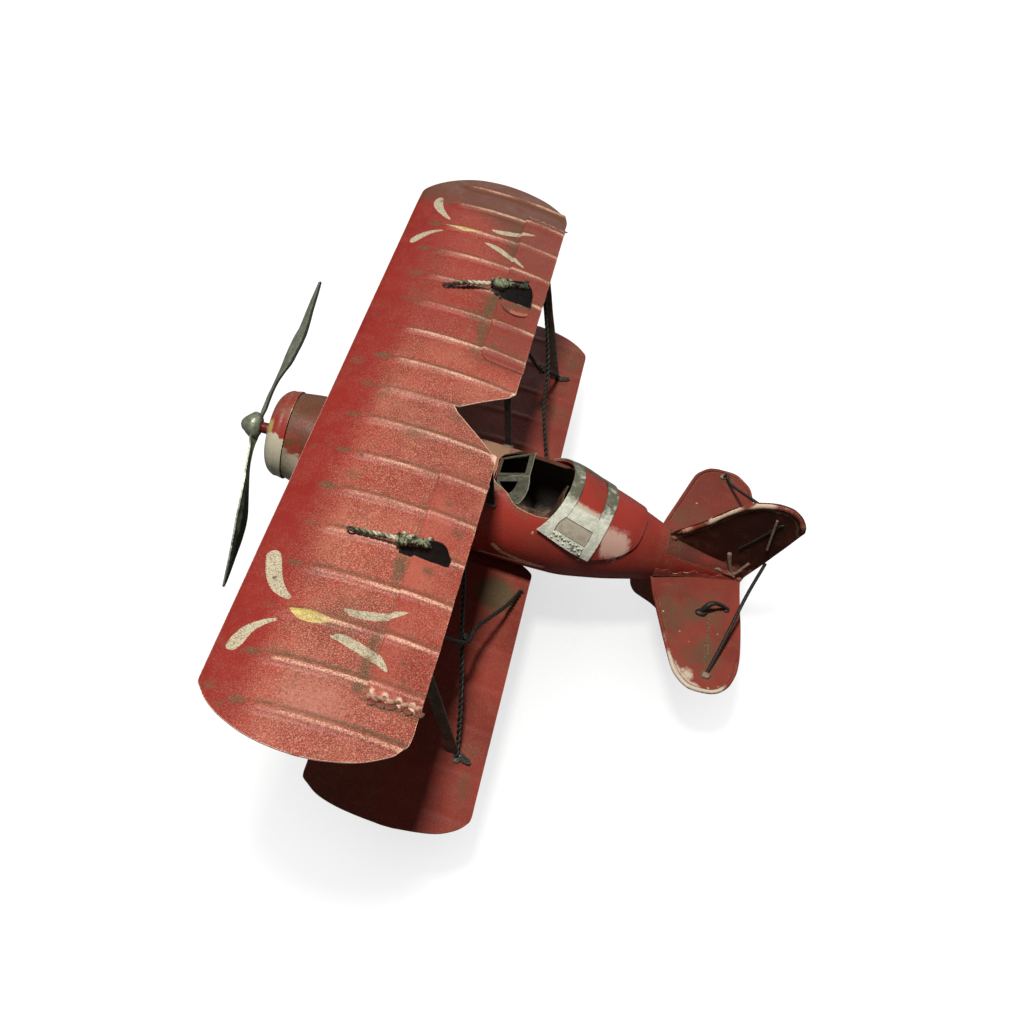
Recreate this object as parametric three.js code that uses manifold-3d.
// Tin-plate biplane, a hand-soldered sheet-metal display toy.
// Millimetres. The finished model stands on its two wheels and its tail skid:
// +X points forward, +Y to port, +Z up, and the origin is the middle of the
// ground rectangle under the model.
//
// The aeroplane is drawn level in its own drawing frame (x = 0 at the leading
// edge of the upper wing, z = 0 at the upper wing's chord plane) and is then
// pitched nose-up by STANCE to its three-point rest attitude.
import * as THREE from 'three';
import { mergeVertices } from 'three/addons/utils/BufferGeometryUtils.js';
import Module from 'manifold-3d';

const wasm = await Module();
wasm.setup();

// ------------------------------------------------------------ shared sizes
const STANCE = 9.4;            // degrees nose-up at rest
const GAP = 0.3;               // clearance left between soldered pieces
const RUNNING_FIT = 0.08;      // radial clearance around the shaft and the axle
const DEG = Math.PI / 180;
const SIDES = [['port', 1], ['starboard', -1]];   // name, sign of y

// ------------------------------------------------------------ number helpers
const vector = ([x, y, z]) => new THREE.Vector3(x, y, z);
const lerp = (from, to, fraction) => from + (to - from) * fraction;
const clampUnit = (value) => Math.max(0, Math.min(1, value));
const sinDeg = (degrees) => Math.sin(degrees * DEG);

// piecewise-linear look-up in rows of [key, value, ...], keys rising or falling
function lookUp(rows, key, column = 1) {
  const rising = rows[0][0] < rows.at(-1)[0] ? rows : [...rows].reverse();
  if (key <= rising[0][0]) return rising[0][column];
  for (let i = 1; i < rising.length; i++) {
    const before = rising[i - 1];
    const after = rising[i];
    if (key <= after[0]) {
      return lerp(before[column], after[column], (key - before[0]) / (after[0] - before[0]));
    }
  }
  return rising.at(-1)[column];
}

// the given distances and their negatives, sorted, without repeats
const mirrored = (distances) =>
  [...new Set(distances.flatMap((y) => [y, -y]))].sort((low, high) => low - high);

// ------------------------------------------------------------ solid helpers
function signedVolume({ attributes: { position }, index }) {
  const corner = (i) => new THREE.Vector3().fromBufferAttribute(position, index.array[i]);
  let sum = 0;
  for (let i = 0; i < index.count; i += 3) {
    sum += corner(i).dot(corner(i + 1).cross(corner(i + 2))) / 6;
  }
  return sum;
}

// position only, vertices merged, faces outward
function clean(geometry) {
  const bare = geometry.clone();
  bare.deleteAttribute('normal');
  bare.deleteAttribute('uv');
  const merged = mergeVertices(bare, 1e-4);
  const source = merged.index.array;
  const kept = [];
  for (let i = 0; i < source.length; i += 3) {
    const [first, second, third] = source.slice(i, i + 3);
    if (first !== second && second !== third && first !== third) kept.push(first, second, third);
  }
  merged.setIndex(kept);
  if (signedVolume(merged) < 0) {
    for (let i = 0; i < kept.length; i += 3) [kept[i], kept[i + 1]] = [kept[i + 1], kept[i]];
    merged.setIndex(kept);
  }
  return merged;
}

function toManifold(geometry) {
  const closed = clean(geometry);
  return new wasm.Manifold(new wasm.Mesh({
    numProp: 3,
    vertProperties: new Float32Array(closed.attributes.position.array),
    triVerts: new Uint32Array(closed.index.array),
  }));
}

function toGeometry(manifold) {
  const mesh = manifold.getMesh();
  const geometry = new THREE.BufferGeometry();
  const positions = new Float32Array(mesh.vertProperties);
  geometry.setAttribute('position', new THREE.BufferAttribute(positions, 3));
  geometry.setIndex(Array.from(mesh.triVerts));
  return geometry;
}

const join = (...parts) => toGeometry(parts.map(toManifold).reduce((all, part) => all.add(part)));
const cut = (body, ...tools) =>
  toGeometry(tools.map(toManifold).reduce((rest, tool) => rest.subtract(tool), toManifold(body)));

// ------------------------------------------------------------ shape helpers
// a sheet whose grid follows a surface; place(row, column, side) -> [x, y, z], side = -1 or +1
function sheet(rows, columns, place) {
  const rowSteps = rows.length - 1;
  const columnSteps = columns.length - 1;
  const geometry = new THREE.BoxGeometry(1, 1, 1, rowSteps, columnSteps, 1);
  const { position } = geometry.attributes;
  for (let k = 0; k < position.count; k++) {
    const i = Math.round((position.getX(k) + 0.5) * rowSteps);
    const j = Math.round((position.getY(k) + 0.5) * columnSteps);
    position.setXYZ(k, ...place(rows[i], columns[j], position.getZ(k) > 0 ? 1 : -1));
  }
  return clean(geometry);
}

const extrude = (shape, depth) =>
  new THREE.ExtrudeGeometry(shape, { depth, bevelEnabled: false });
const toShape = (outline) =>
  new THREE.Shape(outline.map(([across, up]) => new THREE.Vector2(across, up)));

// flat plate standing on the centre plane; outline of [x, z]
function uprightPlate(outline, thickness) {
  const geometry = extrude(toShape(outline), thickness);
  geometry.rotateX(Math.PI / 2);
  geometry.translate(0, thickness / 2, 0);
  return geometry;
}

// flat plate through coplanar 3-D points
function plate(outline, thickness, holes = []) {
  const corners = outline.map(vector);
  const origin = corners[0];
  const along = corners[1].clone().sub(origin).normalize();
  const normal = along.clone().cross(corners.at(-1).clone().sub(origin)).normalize();
  const across = normal.clone().cross(along);
  const flatten = (corner) => {
    const offset = corner.clone().sub(origin);
    return new THREE.Vector2(offset.dot(along), offset.dot(across));
  };
  const shape = new THREE.Shape(corners.map(flatten));
  for (const hole of holes) shape.holes.push(new THREE.Path(hole.map(vector).map(flatten)));
  const geometry = extrude(shape, thickness);
  geometry.translate(0, 0, -thickness / 2);
  geometry.applyMatrix4(new THREE.Matrix4().makeBasis(along, across, normal).setPosition(origin));
  return clean(geometry);
}

// round wire, straight between two points or curved through more
function rod(points, radius, sides = 8, steps = 1) {
  const stops = points.map(vector);
  const path = stops.length === 2 ? new THREE.LineCurve3(...stops)
    : new THREE.CatmullRomCurve3(stops, false, 'centripetal');
  const section = [];
  for (let i = 0; i < sides; i++) {
    const angle = (i + 0.5) * 2 * Math.PI / sides;
    section.push([radius * Math.cos(angle), radius * Math.sin(angle)]);
  }
  const shape = toShape(section);
  shape.closePath();
  return clean(new THREE.ExtrudeGeometry(shape, { steps, bevelEnabled: false, extrudePath: path }));
}

// lathe about the x or y axis through centre; profile of [radius, distance along the axis]
function turned(profile, segments, axis, centre) {
  const outline = profile.map(([radius, along]) => new THREE.Vector2(radius, along));
  const geometry = new THREE.LatheGeometry(outline, segments);
  if (axis === 'x') geometry.rotateZ(-Math.PI / 2);
  geometry.translate(...centre);
  return clean(geometry);
}
const cylinder = (radius, from, to) => [[0, from], [radius, from], [radius, to], [0, to]];
const ring = (inner, outer, from, to) =>
  [[inner, from], [outer, from], [outer, to], [inner, to], [inner, from]];

// straight flat strip, its width lying fore and aft
function bar(from, to, width, thickness) {
  const start = vector(from);
  const along = vector(to).sub(start);
  const length = along.length();
  along.normalize();
  const normal = along.clone().cross(vector([1, 0, 0])).normalize();
  const across = normal.clone().cross(along).normalize();
  const geometry = new THREE.BoxGeometry(length, width, thickness);
  geometry.translate(length / 2, 0, 0);
  geometry.applyMatrix4(new THREE.Matrix4().makeBasis(along, across, normal).setPosition(start));
  return clean(geometry);
}

// ------------------------------------------------------------ scene and paint
const PAINT = {
  red: { color: 0xa8372f, roughness: 0.55, metalness: 0.25 },
  cream: { color: 0xb9b39c, roughness: 0.7, metalness: 0.1 },
  dark: { color: 0x2a2825, roughness: 0.55, metalness: 0.6 },
  olive: { color: 0x5b5c48, roughness: 0.6, metalness: 0.5 },
  bronze: { color: 0x4d5142, roughness: 0.45, metalness: 0.7 },
  verdigris: { color: 0x77836b, roughness: 0.75, metalness: 0.35 },
  tan: { color: 0x6b5f52, roughness: 0.6, metalness: 0.5 },
  brass: { color: 0x9a7b3c, roughness: 0.4, metalness: 0.8 },
  rubber: { color: 0x211f1e, roughness: 0.8, metalness: 0.0 },
  rust: { color: 0x5c3a28, roughness: 0.8, metalness: 0.2 },
};
const aeroplane = new THREE.Group();

function add(name, geometry, paint) {
  geometry.computeVertexNormals();
  const mesh = new THREE.Mesh(geometry, new THREE.MeshStandardMaterial(PAINT[paint]));
  mesh.name = name;
  aeroplane.add(mesh);
}
function addPair(name, build, paint) {
  for (const [side, sign] of SIDES) add(`${name}_${side}`, build(sign), paint);
}

// ------------------------------------------------------------ wing surfaces
// leading and trailing: rows of [distance from centre, x]
const UPPER = {
  trailX: -83.3, camber: 5.2, thickness: 0.8,
  leading: [[0, 0], [178.4, 0], [181.5, -2.6], [185, -6.4], [188, -10], [191, -14],
    [194.8, -22.4], [197.5, -30], [199.2, -38], [199.9, -45]],
};
UPPER.trailing = [[0, -57.6], [22.4, UPPER.trailX],         // V notch at the centre
  [177.5, UPPER.trailX], [181.5, -82.3], [184.5, -80.8], [188, -77.8], [190, -75.5],
  [194.8, -68], [197.5, -62.3], [199.2, -57], [199.9, -49]];
const LOWER = { leadX: -38.5, trailX: -112.7, z: -76.4, camber: 3.5, thickness: 0.8 };
LOWER.leading = [[0, LOWER.leadX], [159, LOWER.leadX], [159.5, -38.8], [162, -41], [167, -47],
  [170.8, -56], [173, -66], [174.3, -77]];
LOWER.trailing = [[0, -101], [8, -101.4], [11, -103], [13, -105.6], [14.6, -109],
  [16.5, -111.8], [18.5, LOWER.trailX], [159, LOWER.trailX], [159.5, -112.6], [163, -111],
  [167, -107], [170.8, -100.4], [173, -92], [174.3, -82]];
const RIB = {                  // pressed ribs, on each side
  spans: [0, 22.3, 46, 69, 92, 115, 138.5, 161.8, 184.6],
  height: 1.3, halfWidth: 2.5, startX: -21.5, runIn: 6,
};
const AILERON = { frontX: -61.5, rearX: -83.6, inner: 40, outer: 167, thickness: 0.7 };
const CREST = 0.42;            // highest point of the camber, as a fraction of the chord

const camberRise = (fraction, height) =>
  height * (1 - ((fraction - CREST) / (fraction < CREST ? CREST : 1 - CREST)) ** 2);

function ribRise(x, y) {
  if (x > RIB.startX) return 0;
  const ramp = Math.min(1, (RIB.startX - x) / RIB.runIn);
  const ridges = RIB.spans.map((span) => 1 - Math.abs(Math.abs(y) - span) / RIB.halfWidth);
  return RIB.height * ramp * Math.max(0, ...ridges);
}

// heights of the middle of each wing's sheet
const upperZ = (x, y) => camberRise(x / UPPER.trailX, UPPER.camber) + ribRise(x, y);
const lowerZ = (x) =>
  LOWER.z + camberRise((LOWER.leadX - x) / (LOWER.leadX - LOWER.trailX), LOWER.camber);
const lowerTrailX = (y) => lookUp(LOWER.trailing, Math.abs(y));

// grid between two edges; leading(y) and trailing(y) give x, heightAt(x, y, side) gives z
const chordSheet = (fractions, spans, leading, trailing, heightAt) =>
  sheet(fractions, spans, (fraction, y, side) => {
    const x = lerp(leading(y), trailing(y), fraction);
    return [x, y, heightAt(x, y, side)];
  });

const ribLines = (spans) =>
  spans.flatMap((span) => [span - RIB.halfWidth, span, span + RIB.halfWidth]);
const UPPER_CHORD = [0, 0.1, 0.259, 0.335, 0.5, 0.72, 1];
const UPPER_SPANS = mirrored([...ribLines(RIB.spans), 178.4, 191, 194.8, 197.5, 199.2, 199.9]);
const upperSheet = (heightAt) => chordSheet(UPPER_CHORD, UPPER_SPANS,
  (y) => lookUp(UPPER.leading, Math.abs(y)), (y) => lookUp(UPPER.trailing, Math.abs(y)), heightAt);

const LOWER_CHORD = [0, 0.12, 0.27, 0.42, 0.6, 0.8, 1];
const ROOT_SPANS = [0, 8, 11, 13, 14.6, 16.5, 18.5];
const LOWER_SPANS =
  mirrored([...ROOT_SPANS, 50, 90, 131, 159.5, 163, 167, 170.8, 173, 174.3]);
const lowerSheet = (heightAt) => chordSheet(LOWER_CHORD, LOWER_SPANS,
  (y) => lookUp(LOWER.leading, Math.abs(y)), lowerTrailX, heightAt);

// aileron plate lying on top of the upper wing, its front corners cut back
function aileron(sign) {
  const { frontX, rearX, inner, outer, thickness } = AILERON;
  const ribs = RIB.spans.filter((span) => span > inner && span < outer);
  const spans = [inner, inner + 2, ...ribLines(ribs), outer - 1.5, outer].map((y) => y * sign);
  const lift = UPPER.thickness / 2 + GAP + thickness / 2;
  return chordSheet([0, 0.5, 1], spans, (y) => {
    const fromEnd = Math.min(Math.abs(y) - inner, outer - Math.abs(y));
    return frontX - Math.max(0, 3 - fromEnd * 1.5);
  }, () => rearX,
  (x, y, side) => upperZ(Math.max(x, UPPER.trailX), y) + lift + side * thickness / 2);
}

add('upper_wing', upperSheet((x, y, side) => upperZ(x, y) + side * UPPER.thickness / 2), 'red');
addPair('aileron', aileron, 'red');
add('lower_wing', lowerSheet((x, y, side) => lowerZ(x) + side * LOWER.thickness / 2), 'red');

// ------------------------------------------------------------ fuselage
const SKIN = 1.0;
const SECTIONS = [             // x, half-width, half-height, centre height
  [17.5, 21.2, 21.2, -39.5], [8, 23.2, 23.2, -40.9], [-2, 24.6, 24.6, -42.2],
  [-20, 25.6, 25.6, -43.8], [-40, 26.4, 26.4, -45.3], [-60, 26.9, 26.9, -46.7],
  [-80, 27.1, 27.1, -48.0], [-100, 27.1, 27.1, -49.4], [-110, 26.9, 26.9, -50.1],
  [-120, 26.6, 26.6, -50.7], [-140, 22.9, 22.9, -52.4], [-160, 17.4, 17.5, -54.0],
  [-172, 13.2, 14.0, -55.2], [-190, 7.0, 9.3, -56.6], [-204, 3.6, 6.4, -57.4],
  [-213, 1.8, 4.4, -57.9]];
const DECK = [                 // x, greatest height: flattened ahead of and around the cockpit
  [-20, 0], [-30, -19.4], [-40, -21.2], [-60, -24.3], [-80, -26.3], [-100, -26.5],
  [-110, -25.6], [-119, 0]];
const INNER_STATIONS = [22, 17.5, -2, -40, -60, -80, -100, -110, -120, -140, -160, -172, -186,
  -194];
const GROWN_STATIONS = [17.5, -2, -20, -40, -60, -80, -100, -110, -120, -140, -160, -172, -190,
  -204, -213.5];
const COCKPIT_PORT = [         // x, y, from the front to the rear of the opening
  [-83.5, 8], [-90, 13.5], [-96, 18.4], [-103, 19.6], [-111, 19.6], [-117, 17.5], [-121, 12]];

const bodyHalfWidth = (x) => lookUp(SECTIONS, x, 1);
const bodyHalfHeight = (x) => lookUp(SECTIONS, x, 2);
const bodyCentreZ = (x) => lookUp(SECTIONS, x, 3);

// the fuselage form through the stations, its surface moved out by grow
function bodyLoft(stations, grow, sides = 28) {
  const steps = stations.length - 1;
  const geometry = new THREE.CylinderGeometry(1, 1, 1, sides, steps, false);
  const { position } = geometry.attributes;
  for (let k = 0; k < position.count; k++) {
    const x = stations[Math.round((0.5 - position.getY(k)) * steps)];
    const y = position.getX(k) * (bodyHalfWidth(x) + grow);
    const z = bodyCentreZ(x) - position.getZ(k) * (bodyHalfHeight(x) + grow);
    position.setXYZ(k, x, y, Math.min(z, lookUp(DECK, x) + grow));
  }
  return clean(geometry);
}
const bodyClearance = bodyLoft(GROWN_STATIONS, GAP);   // cuts other pieces clear of the body

function cockpitOpening() {
  const starboard = COCKPIT_PORT.map(([x, y]) => [x, -y]).reverse();
  return extrude(toShape([...COCKPIT_PORT, [-122.5, 0], ...starboard]), 40).translate(0, 0, -46);
}

// the belly is cut away where the fuselage sits on the lower wing
function bellyOpening() {
  const lift = LOWER.thickness / 2 + GAP + 0.1;
  return chordSheet([0, 0.15, 0.32, 0.5, 0.68, 0.85, 1], mirrored([...ROOT_SPANS, 26]),
    () => LOWER.leadX + 1.2, (y) => lowerTrailX(y) - 1.0,
    (x, y, side) => (side > 0 ? lowerZ(Math.max(x, LOWER.trailX)) + lift : -90));
}

function fuselageShell() {
  const outside = bodyLoft(SECTIONS.map(([x]) => x), 0);
  const inside = bodyLoft(INNER_STATIONS, -SKIN, 24);
  return cut(outside, inside, cockpitOpening(), bellyOpening());
}
add('fuselage_shell', fuselageShell(), 'red');

// ------------------------------------------------------------ cowl, shaft and propeller
const THRUST_Z = -39.8;
const COWL_SEAM_X = 18.0;
const SHAFT = { radius: 2.35, rearX: 16.5, length: 25.6 };
const SHAFT_HOLE_R = SHAFT.radius + RUNNING_FIT;
const BUSH_R = 4.6;            // outer radius of the bush and the collar
const PROP = { hubX: 38.6, radius: 80.8, tipX: 28.4, restDeg: -31, thickness: 0.9 };
const TIP_SWEEP = PROP.hubX - PROP.tipX;
// each blade table: distance from the hub, value
const BLADE_HALF_WIDTH = [[0, 4.6], [5, 4.4], [9, 2.9], [16, 3.6], [30, 5.4], [46, 6.2],
  [58, 5.9], [68, 4.7], [75, 3.0], [79, 1.5], [PROP.radius, 0.5]];
const BLADE_SWEEP = [[0, 0], [8, 0.5], [15, 2.0], [22, 3.7], [30, 5.6], [38, 7.5], [50, 9.4],
  [62, TIP_SWEEP], [PROP.radius, TIP_SWEEP]];
const BLADE_PITCH = [[0, 0], [5, 4], [10, 38], [24, 50], [50, 36], [PROP.radius, 26]];  // degrees

const onShaft = (profile, segments, x) => turned(profile, segments, 'x', [x, 0, THRUST_Z]);

const COWL_PROFILE = [         // radius, distance ahead of the seam
  [SHAFT_HOLE_R, 8.3], [SHAFT_HOLE_R, 9.4], [14, 9.4], [17.6, 8.3], [20.6, 5.2], [22, 0.0],
  [21.2, 0.0], [19.8, 4.6], [17.0, 7.2], [13.6, 8.3], [SHAFT_HOLE_R, 8.3]];

// one stamped strip, twisted and swept back towards the tips, with a boss at the hub
function propeller() {
  const cosRest = Math.cos(PROP.restDeg * DEG);
  const sinRest = Math.sin(PROP.restDeg * DEG);
  const radii = mirrored([0, 5, 10, 18, 30, 44, 58, 70, 77, PROP.radius]);
  const strip = sheet(radii, [-1, 0, 1], (reach, across, side) => {
    const radius = Math.abs(reach);
    const sign = reach < 0 ? -1 : 1;
    const offset = lookUp(BLADE_HALF_WIDTH, radius) * across;
    const pitch = lookUp(BLADE_PITCH, radius) * DEG;
    const face = side * PROP.thickness / 2;
    const cup = 0.5 * (1 - across * across) * Math.min(1, radius / 15);
    const x = PROP.hubX - lookUp(BLADE_SWEEP, radius) - offset * Math.sin(pitch) * sign
      + face * Math.cos(pitch) + cup;
    const tangent = offset * Math.cos(pitch) + face * Math.sin(pitch) * sign;
    return [x, reach * cosRest - tangent * sinRest,
      THRUST_Z + reach * sinRest + tangent * cosRest];
  });
  const boss = onShaft([[0, -3.2], [4.4, -3.2], [5.4, -1.6], [5.6, 0], [5.2, 1.4], [0, 1.4]],
    20, PROP.hubX);
  return cut(join(strip, boss), onShaft(cylinder(SHAFT_HOLE_R, -6, 6), 24, PROP.hubX));
}

function propNut() {
  const rearX = PROP.hubX + 1.75;
  const dome = [[0, 0], [3.9, 0], [3.9, 1.6], [3.0, 2.9], [1.4, 3.6], [0, 3.7]];
  return cut(onShaft(dome, 16, rearX), onShaft(cylinder(SHAFT_HOLE_R, -2, 1.9), 24, rearX));
}

add('cowl_front', onShaft(COWL_PROFILE, 28, COWL_SEAM_X), 'red');
add('prop_bush', onShaft(ring(SHAFT_HOLE_R, BUSH_R, 0, 4.7), 24, 21.3), 'brass');
add('prop_shaft', onShaft(cylinder(SHAFT.radius, 0, SHAFT.length), 24, SHAFT.rearX), 'red');
add('shaft_collar', onShaft(ring(SHAFT_HOLE_R, BUSH_R, 0, 2.8), 24, 18.1), 'brass');
add('propeller', propeller(), 'bronze');
add('prop_nut', propNut(), 'bronze');

// ------------------------------------------------------------ struts and wires
const STRUT_Y = 131.2;
// everything above the upper wing's underside, and everything below the lower wing's top
const aboveUpper = upperSheet((x, y, side) =>
  (side > 0 ? 40 : upperZ(x, y) - UPPER.thickness / 2 - GAP));
const belowLower = lowerSheet((x, y, side) =>
  (side < 0 ? -110 : lowerZ(x) + LOWER.thickness / 2 + GAP));

const interplaneStrut = (footX, headX, y) => cut(
  bar([footX, y, lowerZ(footX)], [headX, y, upperZ(headX, y)], 5.4, 1.2),
  aboveUpper, belowLower);
const cabaneStrut = (footX, footY, headX, headY) => cut(
  bar([footX, footY, bodyCentreZ(footX) + 15], [headX, headY, upperZ(headX, headY)], 3.6, 1.4),
  bodyClearance, aboveUpper);

// wire end heights, just clear of the facing wing surfaces
const underUpper = (x, y) => upperZ(x, y) - UPPER.thickness / 2 - 0.5;
const overLower = (x) => lowerZ(x) + LOWER.thickness / 2 + 0.4;

// rises inboard from the lower wing
const straightWire = (sign) => rod([
  [-98.9, 124.4 * sign, overLower(-98.9) + 0.9],
  [-88.6, 94 * sign, -37.8],
  [-78.8, 64.7 * sign, underUpper(-78.8, 64.7) - 1.2]], 1.1, 6, 4);

// rises outboard from the lower wing; the starboard one lies further aft above its foot
function bowedWire(sign) {
  const shift = sign < 0 ? -2.4 : 0;
  const headX = -76.5 + shift;
  return rod([
    [-109.3, 31 * sign, overLower(-109.3) + 1.2],
    [-104 + shift, 50 * sign, -66], [-94.5 + shift, 78 * sign, -50],
    [-91.8 + shift, 96 * sign, -40.5], [-84 + shift, 113 * sign, -20],
    [headX, 126.5 * sign, underUpper(headX, 126.5) - 1.4]], 1.1, 6, 9);
}

addPair('cabane_strut_front', (sign) => cabaneStrut(-14, 17.5 * sign, -14, 19 * sign), 'dark');
addPair('cabane_strut_rear',
  (sign) => cabaneStrut(-85.5, 20.6 * sign, -79.6, 22.6 * sign), 'dark');
addPair('interplane_strut_front', (sign) => interplaneStrut(-52, -15.5, STRUT_Y * sign), 'tan');
addPair('interplane_strut_rear',
  (sign) => interplaneStrut(-98.3, sign > 0 ? -71.6 : -78.1, STRUT_Y * sign), 'tan');
for (const [side, sign] of SIDES) {
  add(`brace_wire_${side}_straight`, straightWire(sign), 'dark');
  add(`brace_wire_${side}_bowed`, bowedWire(sign), 'dark');
}

// ------------------------------------------------------------ wing-top guns
const GUN_Y = 92;
const TAB = { frontX: -62.5, rearX: -77, thickness: 0.7 };

// height just above the aileron plate at the gun
const gunBaseZ = (x) =>
  upperZ(x, GUN_Y) + UPPER.thickness / 2 + GAP + AILERON.thickness + GAP + 0.15;

// tab laid over the aileron plate, sloping with it and reaching inboard
function gunTab(sign) {
  const y = GUN_Y * sign;
  const middleX = (TAB.frontX + TAB.rearX) / 2;
  const slope = Math.atan2(upperZ(-62, 85) - upperZ(-77, 85), 15);
  const tab = plate([
    [TAB.frontX, y + 0.2 * sign, 0], [TAB.rearX, y + 0.2 * sign, 0], [-76.6, y - 6 * sign, 0],
    [-73, y - 11.5 * sign, 0], [-67.5, y - 12.6 * sign, 0], [-63.2, y - 7 * sign, 0],
  ], TAB.thickness);
  tab.translate(-middleX, 0, 0);
  tab.rotateY(-slope);
  tab.translate(middleX, 0, (gunBaseZ(TAB.frontX) + gunBaseZ(TAB.rearX)) / 2 + 0.75);
  return tab;
}

function gunBracket(sign) {
  const y = GUN_Y * sign;
  const upright = plate([
    [-60.8, y, gunBaseZ(-60.8) + 0.6], [-60.8, y, 9.2], [-66, y, 11.0], [-73.5, y, 12.4],
    [-76.6, y, 8.6], [-77.6, y, gunBaseZ(-77.6) + 1.1]], 1.0);
  const receiverRoom = rod([[-53, y, 10.3], [-62, y, 12.1], [-74, y, 14.5]], 3.0, 10, 4);
  return cut(join(upright, gunTab(sign)), receiverRoom);
}

function gunReceiver(sign) {
  const y = GUN_Y * sign;
  return rod([[-54.6, y, 10.6], [-62, y, 12.1], [-71, y, 13.9]], 2.7, 10, 4);
}

// the starboard barrel points inboard
function gunBarrel(sign) {
  const y = GUN_Y * sign;
  return rod([[-30.2, y + (sign < 0 ? 6 : 0), 8.9], [-54.2, y, 10.7]], 1.25);
}

for (const [side, sign] of SIDES) {
  add(`gun_${side}_bracket`, gunBracket(sign), 'dark');
  add(`gun_${side}_receiver`, gunReceiver(sign), 'verdigris');
  add(`gun_${side}_barrel`, gunBarrel(sign), 'verdigris');
}

// ------------------------------------------------------------ hood behind the cockpit
// "across" runs from -1 at the starboard edge to +1 at the port edge; "out" is its size
const HOOD_T = 0.8;
const BAND_T = 0.6;
const BAND_LIFT = HOOD_T / 2 + GAP + BAND_T / 2;
const HOOD_SIDE_X = -109.3;    // front of the hood at its side edges
const HOOD_EDGE = [[HOOD_SIDE_X, 31], [-137, 10]];   // x, edge angle above horizontal, degrees
const HOOD_REAR = [            // out, x
  [0, -160.5], [0.21, -160], [0.55, -158], [0.78, -152.5], [0.906, -146], [1, -136]];
const HOOD_ACROSS = mirrored([0, 0.17, 0.34, 0.52, 0.7, 0.86, 1]);

const hoodFrontX = (out) => HOOD_SIDE_X - 11.3 * sinDeg(90 * (1 - out));
const hoodRearX = (out) => lookUp(HOOD_REAR, out);

// height of the hood above the fuselage skin
function hoodRise(x, angle) {
  const ramp = clampUnit((x + 143) / 26);
  const smooth = ramp * ramp * (3 - 2 * ramp);
  return 0.55 + 3.0 * smooth * sinDeg(90 * clampUnit((angle - 28) / 62));
}

// sheet following the hood between two edges, its middle raised by lift
const hoodSheet = (fractions, acrosses, frontX, rearX, lift, thickness) =>
  sheet(fractions, acrosses, (fraction, across, side) => {
    const out = Math.abs(across);
    const x = lerp(frontX(out), rearX(out), fraction);
    const angle = 90 - out * (90 - lookUp(HOOD_EDGE, x));
    const offset = hoodRise(x, angle) + 0.75 + lift + side * thickness / 2;
    const y = Math.cos(angle * DEG) * (bodyHalfWidth(x) + offset) * Math.sign(across);
    return [x, y, bodyCentreZ(x) + sinDeg(angle) * (bodyHalfHeight(x) + offset)];
  });
const hoodBand = (frontX, rearX) =>
  hoodSheet([0, 1], HOOD_ACROSS, frontX, rearX, BAND_LIFT, BAND_T);
const rearBandFrontX = (out) => lerp(-138.4, -131.8, out ** 1.5);
const rearBandRearX = (out) => lerp(-144.2, -136.6, out ** 1.5);

// fore-and-aft strip between the two bands
const hoodStrip = (acrosses, sign) =>
  hoodSheet([0, 0.33, 0.66, 1], acrosses.map((across) => across * sign),
    (out) => hoodFrontX(out) - 5.5, (out) => rearBandFrontX(out) + 0.3, BAND_LIFT, BAND_T);

add('cockpit_hood', hoodSheet([0, 0.14, 0.3, 0.46, 0.62, 0.8, 0.92, 1], HOOD_ACROSS,
  hoodFrontX, hoodRearX, 0, HOOD_T), 'red');
add('hood_band_front', hoodBand(hoodFrontX, (out) => hoodFrontX(out) - 5.2), 'cream');
add('hood_band_rear', hoodBand(rearBandFrontX, rearBandRearX), 'cream');
addPair('hood_strip_lower', (sign) => hoodStrip([0.8, 0.86, 1], sign), 'cream');
addPair('hood_strip_middle', (sign) => hoodStrip([0.38, 0.52, 0.62], sign), 'cream');

// ------------------------------------------------------------ windscreen and seat
// port corners of the facets: front foot, top, rear foot
const SCREEN = [[-84.6, 6, -25.6], [-99.7, 8, -18.6], [-97.3, 18.2, -29.0]];
const SCREEN_T = 0.8;

// three facets of one bent sheet, each with an opening
function windscreen() {
  const facetCorners = (sign) => SCREEN.map(([x, y, z]) => [x, y * sign, z]);
  const [portFoot, portTop] = facetCorners(1);
  const [starboardFoot, starboardTop] = facetCorners(-1);
  const centre = plate([starboardFoot, portFoot, portTop, starboardTop], SCREEN_T,
    [[[-86.6, -4.1, -24.67], [-86.6, 4.1, -24.67], [-97.6, 5.9, -19.57], [-97.6, -5.9, -19.57]]]);
  const facet = (sign) => {
    const corners = facetCorners(sign);
    const blend = (weights) => [0, 1, 2].map((axis) =>
      corners.reduce((sum, corner, i) => sum + corner[axis] * weights[i], 0));
    const hole = [[0.68, 0.16, 0.16], [0.3, 0.52, 0.18], [0.26, 0.2, 0.54]].map(blend);
    return plate(corners, SCREEN_T, [hole]);
  };
  return cut(join(centre, facet(1), facet(-1)), bodyClearance);
}

const seat = () => join(
  plate([[-101, -9, -58], [-101, 9, -58], [-116, 9, -60], [-116, -9, -60]], 1.2),
  plate([[-115.4, -9, -60], [-115.4, 9, -60], [-119, 8, -34], [-119, -8, -34]], 1.2));

add('windscreen', windscreen(), 'olive');
add('cockpit_seat', seat(), 'rust');

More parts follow.
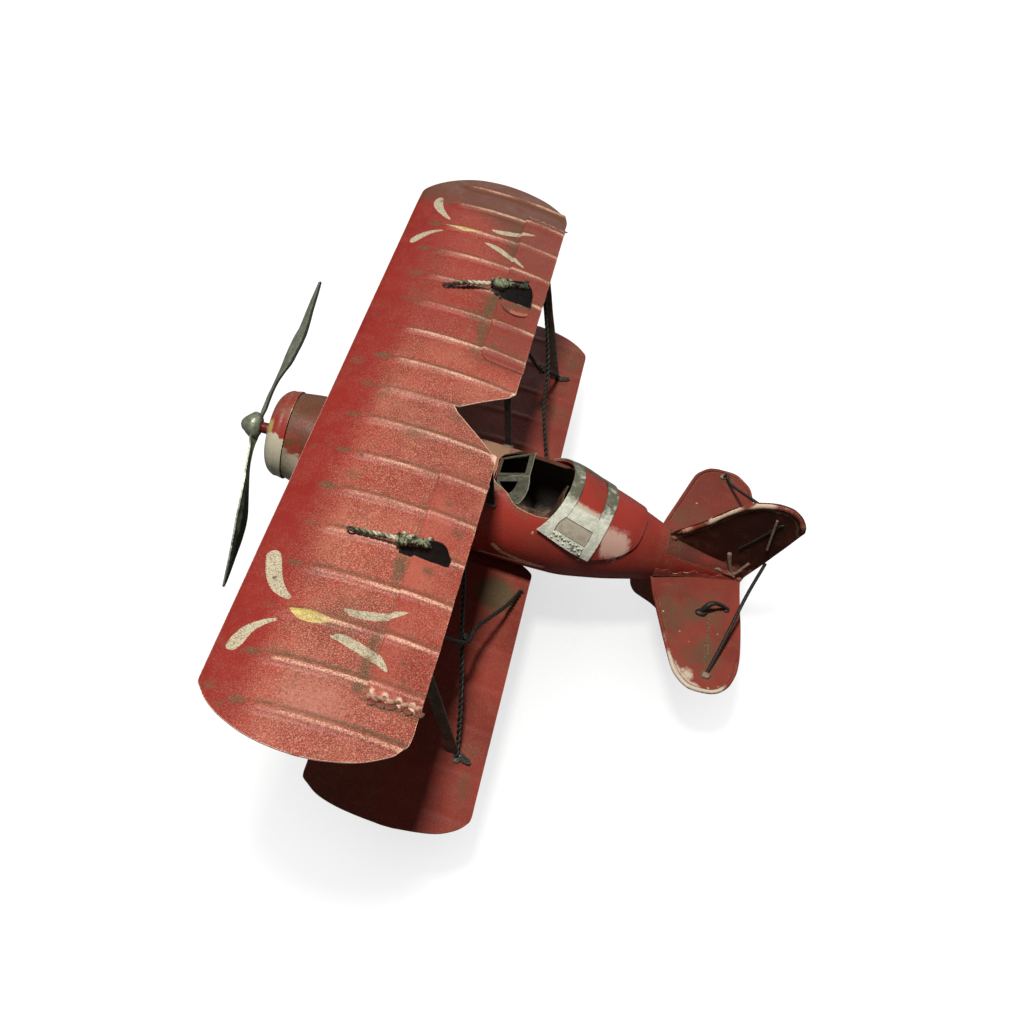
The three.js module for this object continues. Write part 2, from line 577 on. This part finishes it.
// ------------------------------------------------------------ tail
const STAB_Z = -58.6;
const TAIL_T = 1.0;            // thickness of the stabilizers and the fin
const STAB_TIP = {             // x, distance from centre
  port: [[-183.2, 61], [-186, 68], [-189.5, 72.5], [-197, 76.3], [-206, 75.3],
    [-212.8, 69.8], [-216.2, 60.5]],
  starboard: [[-183, 61], [-184.6, 65.6], [-188, 69.6], [-195.4, 73.6], [-204.5, 73.2],
    [-211.6, 68.2], [-216, 59.5]],
};
const FIN = [                  // x, z
  [-173.5, -41], [-175.5, -38], [-185, -28.3], [-199.2, -12], [-206, -7], [-212.8, -4.6],
  [-218.5, -3.8], [-224, -4.8], [-231, -11], [-233.2, -17.4], [-219.9, -47.1], [-214.6, -58],
  [-214.4, -66], [-196, -62], [-173.5, -50]];
const SKID = [                 // x, z
  [-160.5, -70.4], [-161.6, -79], [-163, -83.5], [-165.8, -88], [-170.4, -90.4], [-176, -93.2],
  [-182, -98.2], [-184.5, -100.9], [-195.5, -99.1], [-192, -94], [-184.5, -87], [-181, -78],
  [-181.5, -64], [-172, -64]];

// flat half with a wire bead set just inside its outer edge
function stabilizer(sign) {
  const tip = sign > 0 ? STAB_TIP.port : STAB_TIP.starboard;
  const outline = [[-169.2, 14.2], [-172, 26], [-178, 45], ...tip, [-216.9, 52], [-216, 34],
    [-213.6, 9], [-213, 3.2], [-204, 5], [-190, 8.4], [-180, 11.6]];
  const sheetMetal = extrude(toShape(outline.map(([x, y]) => [x, y * sign])), TAIL_T);
  sheetMetal.translate(0, 0, STAB_Z - TAIL_T / 2);
  const beadTip = tip.map(([x, y]) =>
    [x + 0.9 * Math.sign(-200 - x) * Math.min(1, Math.abs(x + 200) / 10), y - 0.8]);
  const beadLine = [[-172.6, 27], [-178.5, 45], ...beadTip, [-216.1, 50]];
  const bead = rod(beadLine.map(([x, y]) => [x, y * sign, STAB_Z]), 0.95, 6, 16);
  return cut(join(sheetMetal, bead), bodyClearance);
}

// upright plate with a wire bead along its upper edge
function fin() {
  const bead = rod(FIN.slice(1, 10).map(([x, z]) => [x - 0.3, 0, z - 1.7]), 1.35, 8, 18);
  return cut(join(uprightPlate(FIN, TAIL_T), bead), bodyClearance);
}

const elevatorHorn = (sign) => rod([
  [-193.2, 31.2 * sign, STAB_Z + 1.75], [-194.8, 30.0 * sign, STAB_Z + 5.4],
  [-198.6, 27.2 * sign, STAB_Z + 7.2], [-202.8, 24.5 * sign, STAB_Z + 5.2],
  [-205.2, 23.2 * sign, STAB_Z + 1.75]], 0.9, 6, 8);

const lowerStaple = () => cut(rod([
  [-203.6, 1.7, -42.6], [-206.4, 1.8, -50.2], [-209.2, 1.9, -53.2], [-211.6, 1.8, -50.4],
  [-214.2, 1.7, -46.2]], 0.8, 6, 8), bodyClearance);

// the shoe under the skid is level with the ground once the model is pitched
function tailSkid() {
  const shoeT = 1.2;
  const shoe = new THREE.BoxGeometry(13, 7, shoeT);
  shoe.rotateY(STANCE * DEG);
  shoe.translate(-190, 0, -100.42 + shoeT / 2 / Math.cos(STANCE * DEG));
  return cut(join(uprightPlate(SKID, 1.2), shoe), bodyClearance);
}

addPair('stabilizer', stabilizer, 'red');
add('fin', fin(), 'red');
add('fin_brace_rod_port',
  rod([[-202.2, 65.8, STAB_Z + 1.7], [-221.2, 1.7, -42.2]], 0.9), 'dark');
add('fin_brace_rod_starboard',
  rod([[-200.4, -66.5, STAB_Z + 1.7], [-222.0, -2.2, -15.5]], 0.9), 'dark');
addPair('elevator_horn', elevatorHorn, 'dark');
add('rudder_staple_lower', lowerStaple(), 'tan');
add('rudder_staple_upper', rod([[-218.4, 1.75, -13.2], [-219.5, 1.75, -33.2]], 0.8), 'tan');
add('tail_skid', tailSkid(), 'red');

// ------------------------------------------------------------ undercarriage
const WHEEL = { x: -25, z: -110, y: 45, radius: 17.5, hubHalf: 4.4 };
const AXLE = { radius: 1.5, halfLength: 53 };
const AXLE_BORE_R = AXLE.radius + RUNNING_FIT;
const LEG_EYE_Y = 37.5;
const CAP_HALF = 1.2;
const TYRE_PROFILE = [         // radius, distance along the axle
  [12.6, -3.2], [14.4, -4.2], [16.4, -3.3], [WHEEL.radius, -1.1], [WHEEL.radius, 1.1],
  [16.4, 3.3], [14.4, 4.2], [12.6, 3.2], [12.6, -3.2]];
const DISC_PROFILE = [         // radius, distance along the axle
  [AXLE_BORE_R, -WHEEL.hubHalf], [4, -WHEEL.hubHalf], [4.6, -2.2], [12.2, -0.9], [12.2, 0.9],
  [4.6, 2.2], [4, WHEEL.hubHalf], [AXLE_BORE_R, WHEEL.hubHalf], [AXLE_BORE_R, -WHEEL.hubHalf]];

const onAxle = (profile, segments, y) => turned(profile, segments, 'y', [WHEEL.x, y, WHEEL.z]);

// V of two strips meeting in an eye on the axle
function gearLeg(sign) {
  const eyeY = LEG_EYE_Y * sign;
  const foot = [WHEEL.x, eyeY, WHEEL.z];
  const front = bar([2, 11 * sign, -60], foot, 4.6, 1.4);
  const rear = bar([-33, 13 * sign, -66], foot, 4.6, 1.4);
  const eye = onAxle(cylinder(3.6, -1.6, 1.6), 20, eyeY);
  const bore = onAxle(cylinder(AXLE_BORE_R, -12, 12), 24, eyeY);
  return cut(join(front, rear, eye), bore, bodyClearance);
}

const axleCap = (sign) => onAxle(ring(AXLE_BORE_R, 3.2, -CAP_HALF, CAP_HALF), 16,
  (WHEEL.y + WHEEL.hubHalf + 0.5 + CAP_HALF) * sign);

addPair('gear_leg', gearLeg, 'dark');
add('axle', onAxle(cylinder(AXLE.radius, -AXLE.halfLength, AXLE.halfLength), 24, 0), 'dark');
for (const [side, sign] of SIDES) {
  add(`wheel_tyre_${side}`, onAxle(TYRE_PROFILE, 28, WHEEL.y * sign), 'rubber');
  add(`wheel_disc_${side}`, onAxle(DISC_PROFILE, 24, WHEEL.y * sign), 'red');
}
addPair('axle_cap', axleCap, 'dark');

// ------------------------------------------------------------ rest attitude
// pitch the aeroplane, then put the origin on the ground under its middle
aeroplane.rotation.y = -STANCE * DEG;
aeroplane.updateMatrixWorld(true);
const { min, max } = new THREE.Box3().setFromObject(aeroplane, true);
aeroplane.position.set(-(min.x + max.x) / 2, -(min.y + max.y) / 2, -min.z);

const model = new THREE.Group();
model.add(aeroplane);
model.updateMatrixWorld(true);
export default model;
